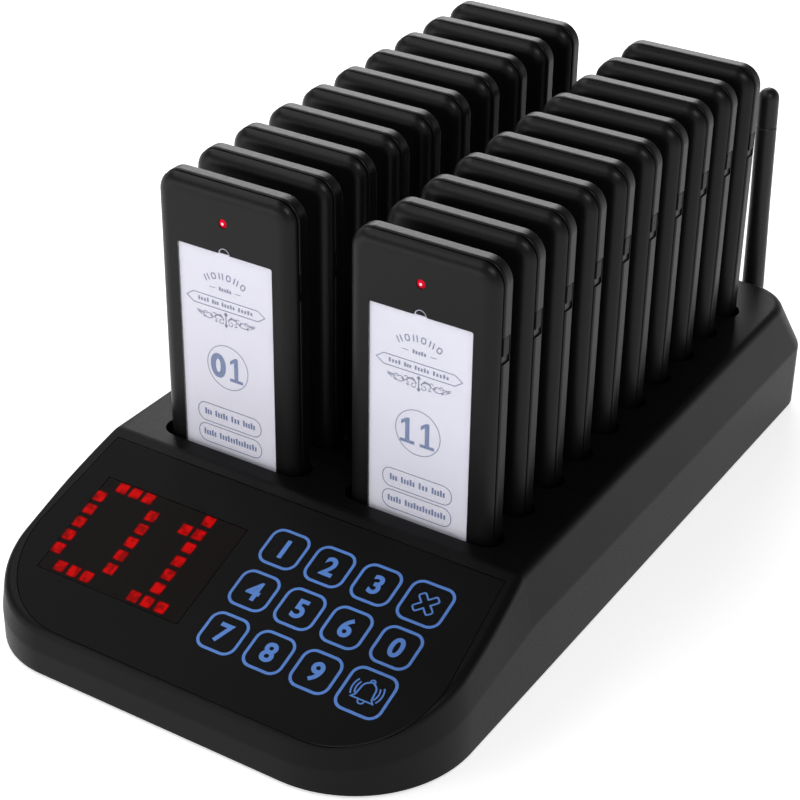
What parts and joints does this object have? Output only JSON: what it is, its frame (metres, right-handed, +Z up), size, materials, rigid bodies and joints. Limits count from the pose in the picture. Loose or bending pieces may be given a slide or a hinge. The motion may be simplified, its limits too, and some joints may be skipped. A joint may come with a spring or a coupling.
{
  "type": "paging transmitter with charging pagers",
  "caption": "Restaurant paging set: keypad transmitter with a small dot display and stub antenna, whose long base charges slim lift-out pagers standing in slots.",
  "frame": {"origin": "middle of the whole set's footprint, on the table under its feet", "axes": "+X to the right as seen by someone at the keypad, +Y from the keypad towards the antenna, +Z up"},
  "size_m": [0.1436, 0.27, 0.123],
  "materials": {
    "housing_black": "fine even texture, slightly satin",
    "overlay_black": "smooth printed overlay, satin",
    "pager_black": "satin",
    "fitting_black": "smooth satin",
    "smoked_window": "glossy smoked red",
    "display_red": "lit segments behind the window",
    "board_green": "solder mask",
    "foot_rubber": "matte",
    "clear_window": "thin clear plastic",
    "label_white": "printed card",
    "led_red": "clear red lens",
    "battery_foil": "satin foil",
    "steel": "bright",
    "brass": "bright"
  },
  "bodies": {
    "base": {"base_top_housing": "housing_black", "base_bottom_cover": "housing_black", "main_board": "board_green", "charging_board_left": "board_green", "charging_board_right": "board_green", "dc_inlet": "fitting_black", "power_switch_housing": "fitting_black", "buzzer": "fitting_black", "foot_front_left": "foot_rubber", "foot_front_right": "foot_rubber", "foot_rear_left": "foot_rubber", "foot_rear_right": "foot_rubber", "cover_screw_1": "steel", "cover_screw_2": "steel", "cover_screw_3": "steel", "cover_screw_4": "steel", "cover_screw_5": "steel", "cover_screw_6": "steel", "panel_overlay": "overlay_black", "display_window": "smoked_window", "display_module": "display_red", "touch_key_board": "board_green", "antenna_connector": "brass"},
    "power_rocker": {"power_rocker": "fitting_black"},
    "antenna_knuckle": {"antenna_knuckle": "fitting_black", "antenna_hinge_pin": "steel"},
    "antenna_rod": {"antenna_rod": "fitting_black"},
    "pager_01": {"pager_01_front_shell": "pager_black", "pager_01_back_shell": "pager_black", "pager_01_window": "clear_window", "pager_01_label_card": "label_white", "pager_01_led_lens": "led_red", "pager_01_circuit_board": "board_green", "pager_01_battery": "battery_foil", "pager_01_vibration_motor": "steel", "pager_01_charge_contact_left": "brass", "pager_01_charge_contact_right": "brass", "pager_01_screw_1": "steel", "pager_01_screw_2": "steel"},
    "pager_01_switch": {"pager_01_switch": "pager_black"},
    "pager_01_motor_weight": {"pager_01_motor_weight": "steel"},
    "pager_02": {"pager_02": "pager_black"},
    "pager_03": {"pager_03": "pager_black"},
    "pager_04": {"pager_04": "pager_black"},
    "pager_05": {"pager_05": "pager_black"},
    "pager_06": {"pager_06": "pager_black"},
    "pager_07": {"pager_07": "pager_black"},
    "pager_08": {"pager_08": "pager_black"},
    "pager_09": {"pager_09": "pager_black"},
    "pager_10": {"pager_10": "pager_black"},
    "pager_11": {"pager_11": "pager_black"},
    "pager_12": {"pager_12": "pager_black"},
    "pager_13": {"pager_13": "pager_black"},
    "pager_14": {"pager_14": "pager_black"},
    "pager_15": {"pager_15": "pager_black"},
    "pager_16": {"pager_16": "pager_black"},
    "pager_17": {"pager_17": "pager_black"},
    "pager_18": {"pager_18": "pager_black"},
    "pager_19": {"pager_19": "pager_black"},
    "pager_20": {"pager_20": "pager_black"}
  },
  "joints": [
    {"name": "pager_01_lift", "type": "slide", "parent": "base", "child": "pager_01", "axis": [0, 0, 1], "range_m": [0, 0.03]},
    {"name": "pager_02_lift", "type": "slide", "parent": "base", "child": "pager_02", "axis": [0, 0, 1], "range_m": [0, 0.03]},
    {"name": "pager_03_lift", "type": "slide", "parent": "base", "child": "pager_03", "axis": [0, 0, 1], "range_m": [0, 0.03]},
    {"name": "pager_04_lift", "type": "slide", "parent": "base", "child": "pager_04", "axis": [0, 0, 1], "range_m": [0, 0.03]},
    {"name": "pager_05_lift", "type": "slide", "parent": "base", "child": "pager_05", "axis": [0, 0, 1], "range_m": [0, 0.03]},
    {"name": "pager_06_lift", "type": "slide", "parent": "base", "child": "pager_06", "axis": [0, 0, 1], "range_m": [0, 0.03]},
    {"name": "pager_07_lift", "type": "slide", "parent": "base", "child": "pager_07", "axis": [0, 0, 1], "range_m": [0, 0.03]},
    {"name": "pager_08_lift", "type": "slide", "parent": "base", "child": "pager_08", "axis": [0, 0, 1], "range_m": [0, 0.03]},
    {"name": "pager_09_lift", "type": "slide", "parent": "base", "child": "pager_09", "axis": [0, 0, 1], "range_m": [0, 0.03]},
    {"name": "pager_10_lift", "type": "slide", "parent": "base", "child": "pager_10", "axis": [0, 0, 1], "range_m": [0, 0.03]},
    {"name": "pager_11_lift", "type": "slide", "parent": "base", "child": "pager_11", "axis": [0, 0, 1], "range_m": [0, 0.03]},
    {"name": "pager_12_lift", "type": "slide", "parent": "base", "child": "pager_12", "axis": [0, 0, 1], "range_m": [0, 0.03]},
    {"name": "pager_13_lift", "type": "slide", "parent": "base", "child": "pager_13", "axis": [0, 0, 1], "range_m": [0, 0.03]},
    {"name": "pager_14_lift", "type": "slide", "parent": "base", "child": "pager_14", "axis": [0, 0, 1], "range_m": [0, 0.03]},
    {"name": "pager_15_lift", "type": "slide", "parent": "base", "child": "pager_15", "axis": [0, 0, 1], "range_m": [0, 0.03]},
    {"name": "pager_16_lift", "type": "slide", "parent": "base", "child": "pager_16", "axis": [0, 0, 1], "range_m": [0, 0.03]},
    {"name": "pager_17_lift", "type": "slide", "parent": "base", "child": "pager_17", "axis": [0, 0, 1], "range_m": [0, 0.03]},
    {"name": "pager_18_lift", "type": "slide", "parent": "base", "child": "pager_18", "axis": [0, 0, 1], "range_m": [0, 0.03]},
    {"name": "pager_19_lift", "type": "slide", "parent": "base", "child": "pager_19", "axis": [0, 0, 1], "range_m": [0, 0.03]},
    {"name": "pager_20_lift", "type": "slide", "parent": "base", "child": "pager_20", "axis": [0, 0, 1], "range_m": [0, 0.03]},
    {"name": "pager_01_switch_slide", "type": "slide", "parent": "pager_01", "child": "pager_01_switch", "axis": [0, 0, 1], "range_m": [-0.0022, 0]},
    {"name": "pager_01_motor_spin", "type": "hinge", "parent": "pager_01", "child": "pager_01_motor_weight", "pos_m": [-0.03145, -0.05855, 0.067], "axis": [1, 0, 0], "continuous": true},
    {"name": "power_rocker_tip", "type": "hinge", "parent": "base", "child": "power_rocker", "pos_m": [-0.022, 0.12155, 0.014], "axis": [1, 0, 0], "range_deg": [-16, 0]},
    {"name": "antenna_swivel", "type": "hinge", "parent": "base", "child": "antenna_knuckle", "pos_m": [0.047, 0.12555, 0.022], "axis": [0, 1, 0], "range_deg": [-90, 90]},
    {"name": "antenna_tilt", "type": "hinge", "parent": "antenna_knuckle", "child": "antenna_rod", "pos_m": [0.047, 0.13135, 0.022], "axis": [0.9997, 0, 0.0262], "range_deg": [-90, 0]}
  ]
}
